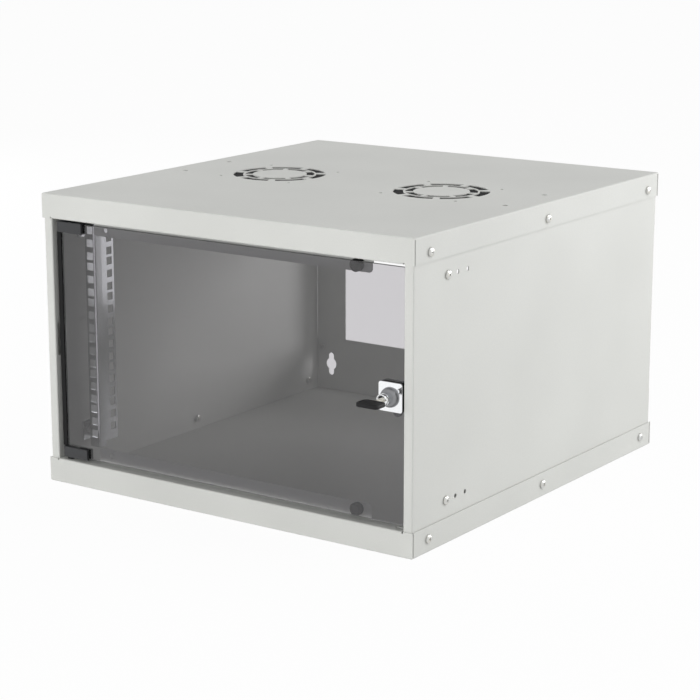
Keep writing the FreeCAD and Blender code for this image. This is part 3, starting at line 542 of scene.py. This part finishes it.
painted_casting = new_finish("dark grey paint on zinc casting")
place = add_node(painted_casting, "ShaderNodeTexCoord", {})
skin_noise = add_node(painted_casting, "ShaderNodeTexNoise",
                      {"Vector": place.outputs["Object"], "Scale": 1 / casting_size, "Detail": 3.0})
shade = add_node(painted_casting, "ShaderNodeMix",
                 {"Factor": skin_noise.outputs["Fac"], 6: linear(clamp_grey_deep), 7: linear(clamp_grey)},
                 data_type="RGBA")
satin = add_node(painted_casting, "ShaderNodeMapRange",
                 {"Value": skin_noise.outputs["Fac"], "To Min": 0.34, "To Max": 0.48})
relief = add_node(painted_casting, "ShaderNodeBump",
                  {"Height": skin_noise.outputs["Fac"], "Distance": casting_height, "Strength": 1.0})
skin = add_node(painted_casting, "ShaderNodeBsdfPrincipled",
                {"Base Color": shade.outputs[2], "Roughness": satin.outputs[0], "Normal": relief.outputs[0],
                 "IOR": 1.5})
add_node(painted_casting, "ShaderNodeOutputMaterial", {"Surface": skin.outputs[0]})
finish_nodes(painted_casting, "top_hinge_clamp", "bottom_hinge_clamp")

# ---------------------------------------------------------------- lock body
# Zinc die castings, buffed and chromed: a rounded square plate, and a barrel whose dome and neck stand in
# front of it. Chrome is a bright, slightly blue mirror, softened here by fine buffing marks.
chrome_light = "#fbfcfd"
chrome_dark = "#f3f5f7"
buffing_size = 1.5 * mm

polished_chrome = new_finish("polished chrome plate")
place = add_node(polished_chrome, "ShaderNodeTexCoord", {})
buffing = add_node(polished_chrome, "ShaderNodeTexNoise",
                   {"Vector": place.outputs["Object"], "Scale": 1 / buffing_size, "Detail": 2.0})
shade = add_node(polished_chrome, "ShaderNodeMix",
                 {"Factor": buffing.outputs["Fac"], 6: linear(chrome_dark), 7: linear(chrome_light)},
                 data_type="RGBA")
gloss = add_node(polished_chrome, "ShaderNodeMapRange",
                 {"Value": buffing.outputs["Fac"], "To Min": 0.1, "To Max": 0.16})
skin = add_node(polished_chrome, "ShaderNodeBsdfPrincipled",
                {"Base Color": shade.outputs[2], "Roughness": gloss.outputs[0], "Metallic": 1.0})
add_node(polished_chrome, "ShaderNodeOutputMaterial", {"Surface": skin.outputs[0]})

# The dome is bead-blasted before it is plated, so it shows no mirror. Its soft mid grey is a painted
# reflection:
# a darker copy of the chrome that stands in for the darker surroundings the dome reflects.
dome_painted_light = "#949597"
dome_painted_dark = "#808183"
blasting_size = 0.8 * mm

shaded_satin_chrome = new_finish("satin chrome plate, painted darker on the dome")
place = add_node(shaded_satin_chrome, "ShaderNodeTexCoord", {})
blasting = add_node(shaded_satin_chrome, "ShaderNodeTexNoise",
                    {"Vector": place.outputs["Object"], "Scale": 1 / blasting_size, "Detail": 2.0})
shade = add_node(shaded_satin_chrome, "ShaderNodeMix",
                 {"Factor": blasting.outputs["Fac"], 6: linear(dome_painted_dark), 7: linear(dome_painted_light)},
                 data_type="RGBA")
satin = add_node(shaded_satin_chrome, "ShaderNodeMapRange",
                 {"Value": blasting.outputs["Fac"], "To Min": 0.28, "To Max": 0.4})
skin = add_node(shaded_satin_chrome, "ShaderNodeBsdfPrincipled",
                {"Base Color": shade.outputs[2], "Roughness": satin.outputs[0], "Metallic": 1.0})
add_node(shaded_satin_chrome, "ShaderNodeOutputMaterial", {"Surface": skin.outputs[0]})
finish_nodes(polished_chrome, "lock_plug")

plate_low, plate_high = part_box("lock_face_plate")
lock_centre = (plate_low + plate_high) / 2
plate_corner = 3.0 * mm
plate_edge = 0.45 * mm
# Half way round a quarter circle, the curve has come in by this share of its radius.
half_round = 0.29
barrel_hole = 8.05 * mm


def rounded_rectangle(width, height, corner, inset, level, across=8):
    """Ring of points round a rectangle with round corners; inset draws it in all round."""
    radius = max(corner - inset, 0.2 * mm)
    ring = []
    for quarter, (sx, sy) in enumerate(((1, 1), (-1, 1), (-1, -1), (1, -1))):
        centre_x = sx * (width / 2 - inset - radius)
        centre_y = sy * (height / 2 - inset - radius)
        for k in range(across + 1):
            angle = (quarter + k / across) * pi / 2
            ring.append((centre_x + radius * cos(angle), centre_y + radius * sin(angle), level))
    return ring


def facing_front(point):
    """Turns a shape that is made along +Z to face the front of the cabinet, at a point of the lock."""
    return Matrix.Translation(point) @ Matrix.Rotation(pi / 2, 4, "X")


plate_size = plate_high - plate_low
plate_depth = plate_size.y
plate_outline = rounded_rectangle(plate_size.x, plate_size.z, plate_corner, 0, 0)
hole_turns = [Vector(point[:2]).normalized() * barrel_hole for point in plate_outline]


def plate_hole(level):
    return [(turn.x, turn.y, level) for turn in hole_turns]


plate_rings = [plate_hole(0)]
plate_rings += [rounded_rectangle(plate_size.x, plate_size.z, plate_corner, inset * plate_edge, level)
                for inset, level in ((0, 0), (0, plate_depth - plate_edge),
                                     (half_round, plate_depth - half_round * plate_edge), (1, plate_depth))]
plate_rings.append(plate_hole(plate_depth))
plate_mesh = mesh_from(loft(plate_rings, joined=True), "lock plate")
plate_mesh.transform(facing_front((lock_centre.x, plate_high.y, lock_centre.z)))
plate = bpy.data.objects.new("lock_face_plate_detailed", plate_mesh)
bpy.context.scene.collection.objects.link(plate)
plate.data.materials.append(polished_chrome)
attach(plate, "door")
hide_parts("lock_face_plate")

dome_radius = 11.5 * mm
dome_height = 7.0 * mm
neck_radius = 6.9 * mm
barrel_radius = 8.0 * mm
plug_bore = 5.0 * mm
barrel_low, barrel_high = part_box("lock_barrel")
neck_reach = plate_low.y - barrel_low.y
barrel_tail = barrel_high.y - plate_low.y
dome_bore = neck_radius - 0.4 * mm
dome_seam = 0.1 * mm
dome_rings = [circle(dome_bore, 0)]
dome_rings += [circle(neck_radius + (dome_radius - neck_radius) * cos(angle), dome_height * sin(angle))
               for angle in (k * pi / 24 for k in range(12))]
dome_rings += [circle(neck_radius + 0.12 * mm, dome_height - 0.04 * mm),
               circle(neck_radius, dome_height - dome_seam), circle(dome_bore, dome_height - dome_seam)]
barrel_rings = [circle(plug_bore, -barrel_tail), circle(barrel_radius, -barrel_tail),
                circle(barrel_radius, 0), circle(dome_bore, 0)]
barrel_rings += [circle(neck_radius + out * mm, neck_reach - back * mm) for out, back in
                 ((-0.4, 5.4), (-0.3, 5.2), (0, 4.9), (0, 1.0), (-0.25, 0.35), (-0.7, 0.05), (-1.0, 0.0),
                  (-1.15, 0.15), (-1.3, 0.3))]
barrel_rings += [circle(plug_bore + 0.15 * mm, neck_reach - 0.3 * mm),
                 circle(plug_bore, neck_reach - 0.5 * mm)]
# The dome takes the darker copy of the chrome, a painted reflection; the neck and plug stay polished.
for name, rings, finish in (("lock_dome_detailed", dome_rings, shaded_satin_chrome),
                            ("lock_barrel_detailed", barrel_rings, polished_chrome)):
    turned_mesh = mesh_from(loft(rings, joined=True), name)
    turned_mesh.transform(facing_front((lock_centre.x, plate_low.y, lock_centre.z)))
    turned = bpy.data.objects.new(name, turned_mesh)
    bpy.context.scene.collection.objects.link(turned)
    turned.data.materials.append(finish)
    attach(turned, "door")
    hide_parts("lock_barrel")

lock_nut_flats = 22.0 * mm
nut_low, nut_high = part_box("lock_ring_nut")
lock_nut = nut_mesh(lock_nut_flats, nut_high.y - nut_low.y, barrel_hole)
nut_seats = [((lock_centre.x, nut_high.y, lock_centre.z), (0, 1, 0), 0)]
piece = placed("lock_ring_nut_detailed", lock_nut, nut_seats, bright_zinc, "door")
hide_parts("lock_ring_nut")

# ---------------------------------------------------------------- cam, its screw and the key
# The cam is stamped from steel, blackened, and held on the plug's square by a small cross-head screw.
# The key's blade is milled from nickel-plated brass, with a bow moulded over it in black ABS.
low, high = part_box("lock_cam_screw")
cam_screw = screw_mesh("M3", high.y - low.y - head_reach["M3"])
piece = placed("lock_cam_screw_detailed", cam_screw,
               [((lock_centre.x, high.y - head_reach["M3"], lock_centre.z), (0, 1, 0), 0.4)], bright_zinc,
               "lock_cylinder")
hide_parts("lock_cam_screw")

nickel_light = "#d6d2c6"
nickel_dark = "#bdb9ad"
milling_pitch = 0.6 * mm

milled_nickel = new_finish("milled and nickel plated brass")
place = add_node(milled_nickel, "ShaderNodeTexCoord", {})
milling = add_node(milled_nickel, "ShaderNodeTexWave",
                   {"Vector": place.outputs["Object"], "Scale": band_spacing / milling_pitch,
                    "Distortion": 1.0},
                   bands_direction="Z")
shade = add_node(milled_nickel, "ShaderNodeMix", {"Factor": milling.outputs["Fac"], 6: linear(nickel_dark),
                                                  7: linear(nickel_light)}, data_type="RGBA")
satin = add_node(milled_nickel, "ShaderNodeMapRange",
                 {"Value": milling.outputs["Fac"], "To Min": 0.18, "To Max": 0.32})
skin = add_node(milled_nickel, "ShaderNodeBsdfPrincipled",
                {"Base Color": shade.outputs[2], "Roughness": satin.outputs[0], "Metallic": 1.0})
add_node(milled_nickel, "ShaderNodeOutputMaterial", {"Surface": skin.outputs[0]})
finish_nodes(milled_nickel, "key_blade")

abs_black = "#101011"
abs_worn = "#18181a"
wear_size = 5 * mm

moulded_abs = new_finish("moulded black ABS")
place = add_node(moulded_abs, "ShaderNodeTexCoord", {})
wear = add_node(moulded_abs, "ShaderNodeTexNoise",
                {"Vector": place.outputs["Object"], "Scale": 1 / wear_size, "Detail": 4.0})
shade = add_node(moulded_abs, "ShaderNodeMix", {"Factor": wear.outputs["Fac"], 6: linear(abs_black),
                                                7: linear(abs_worn)}, data_type="RGBA")
gloss = add_node(moulded_abs, "ShaderNodeMapRange",
                 {"Value": wear.outputs["Fac"], "To Min": 0.42, "To Max": 0.56})
skin = add_node(moulded_abs, "ShaderNodeBsdfPrincipled",
                {"Base Color": shade.outputs[2], "Roughness": gloss.outputs[0], "IOR": 1.54,
                 "Specular IOR Level": 0.25})
add_node(moulded_abs, "ShaderNodeOutputMaterial", {"Surface": skin.outputs[0]})

bow_low, bow_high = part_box("key_head")
bow_centre = (bow_low + bow_high) / 2
bow_size = bow_high - bow_low
bow_corner = 5.0 * mm
half_bow = bow_size.z / 2
bow_edges = ((0, half_bow - 1.0 * mm), (0.12 * mm, half_bow - 0.5 * mm), (0.45 * mm, half_bow - 0.15 * mm),
             (1.0 * mm, half_bow), (2.6 * mm, half_bow), (2.9 * mm, half_bow - 0.35 * mm))
bow_rings = [rounded_rectangle(bow_size.x, bow_size.y, bow_corner, inset, -level)
             for inset, level in bow_edges[::-1]]
bow_rings += [rounded_rectangle(bow_size.x, bow_size.y, bow_corner, inset, level)
              for inset, level in bow_edges]
bow_mesh = mesh_from(loft(bow_rings), "key bow")
bow_mesh.transform(Matrix.Translation(bow_centre))
bow = bpy.data.objects.new("key_head_detailed", bow_mesh)
bpy.context.scene.collection.objects.link(bow)
bow.data.materials.append(moulded_abs)
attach(bow, "key")
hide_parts("key_head")

# ---------------------------------------------------------------- floor, light and camera
# A plain pale floor that reads as white and keeps a faint shadow, an even white surround, and four large
# soft lamps: in front, above, at the left, and at the right rear, which shines in through the back. The
# front lamp gives light but isn't mirrored, so that the door glass shows the even surround.
floor_white = "#f4f4f4"
floor_half = 15.0
floor_glow = 0.96
surround_light = 0.37
# Diffuse Depth counts how often a ray was scattered: under a half is not yet.
not_scattered = 0.5
lamp_aim = Vector((0, 0, 0.18))


def looked_at(surround):
    """1 where the eye sees the surround itself, in metal or through glass; 0 where it only gives light."""
    ray = add_node(surround, "ShaderNodeLightPath", {})
    seen = add_node(surround, "ShaderNodeMath",
                    {0: ray.outputs["Is Camera Ray"], 1: ray.outputs["Is Glossy Ray"]}, operation="MAXIMUM")
    seen = add_node(surround, "ShaderNodeMath",
                    {0: seen.outputs[0], 1: ray.outputs["Is Transmission Ray"]}, operation="MAXIMUM")
    unscattered = add_node(surround, "ShaderNodeMath",
                           {0: ray.outputs["Diffuse Depth"], 1: not_scattered}, operation="LESS_THAN")
    return add_node(surround, "ShaderNodeMath",
                    {0: seen.outputs[0], 1: unscattered.outputs[0]}, operation="MULTIPLY")


pale_floor = new_finish("pale studio floor")
lit = add_node(pale_floor, "ShaderNodeBsdfDiffuse", {"Color": linear(floor_white)})
glow = add_node(pale_floor, "ShaderNodeEmission", {"Color": (1, 1, 1, 1), "Strength": 1.0})
share = add_node(pale_floor, "ShaderNodeMath",
                 {0: looked_at(pale_floor).outputs[0], 1: floor_glow}, operation="MULTIPLY")
both = add_node(pale_floor, "ShaderNodeMixShader",
                {0: share.outputs[0], 1: lit.outputs[0], 2: glow.outputs[0]})
add_node(pale_floor, "ShaderNodeOutputMaterial", {"Surface": both.outputs[0]})

form = bmesh.new()
form.faces.new([form.verts.new((x * floor_half, y * floor_half, 0))
                for x, y in ((-1, -1), (1, -1), (1, 1), (-1, 1))])
floor_mesh = bpy.data.meshes.new("floor")
form.to_mesh(floor_mesh)
form.free()
floor = bpy.data.objects.new("floor", floor_mesh)
bpy.context.scene.collection.objects.link(floor)
floor.data.materials.append(pale_floor)

world = bpy.data.worlds.new("studio surround")
world.use_nodes = True
world.node_tree.nodes.clear()
soft = add_node(world, "ShaderNodeBackground", {"Color": (1, 1, 1, 1), "Strength": surround_light})
white = add_node(world, "ShaderNodeBackground", {"Color": (1, 1, 1, 1), "Strength": 1.0})
both = add_node(world, "ShaderNodeMixShader",
                {0: looked_at(world).outputs[0], 1: soft.outputs[0], 2: white.outputs[0]})
add_node(world, "ShaderNodeOutputWorld", {"Surface": both.outputs[0]})
bpy.context.scene.world = world

for name, point, size, power in (("front lamp", (-0.45, -3.3, 0.55), 1.7, 57.0),
                                 ("upper lamp", (2.1, 0.3, 2.7), 1.5, 26.0),
                                 ("rear lamp", (2.0, 2.3, 0.55), 1.6, 41.0),
                                 ("left lamp", (-2.8, 0.7, 0.6), 1.6, 34.0)):
    lamp_data = bpy.data.lights.new(name, "AREA")
    lamp_data.shape = "DISK"
    lamp_data.size = size
    lamp_data.energy = power
    lamp = bpy.data.objects.new(name, lamp_data)
    lamp.location = point
    lamp.rotation_euler = (lamp_aim - Vector(point)).to_track_quat("-Z", "Y").to_euler()
    lamp.visible_glossy = lamp.visible_transmission = name != "front lamp"
    bpy.context.scene.collection.objects.link(lamp)

camera_place = (1.47507, -2.14289, 0.76366)
camera_dip = 13.377
camera_heading = 34.7926
camera_data = bpy.data.cameras.new("camera")
camera_data.lens = 109.96
camera_data.sensor_width = 36.0
camera = bpy.data.objects.new("camera", camera_data)
camera.location = camera_place
camera.rotation_euler = (radians(90 - camera_dip), 0, radians(camera_heading))
bpy.context.scene.collection.objects.link(camera)
bpy.context.scene.camera = camera
bpy.context.scene.view_settings.view_transform = "Standard"
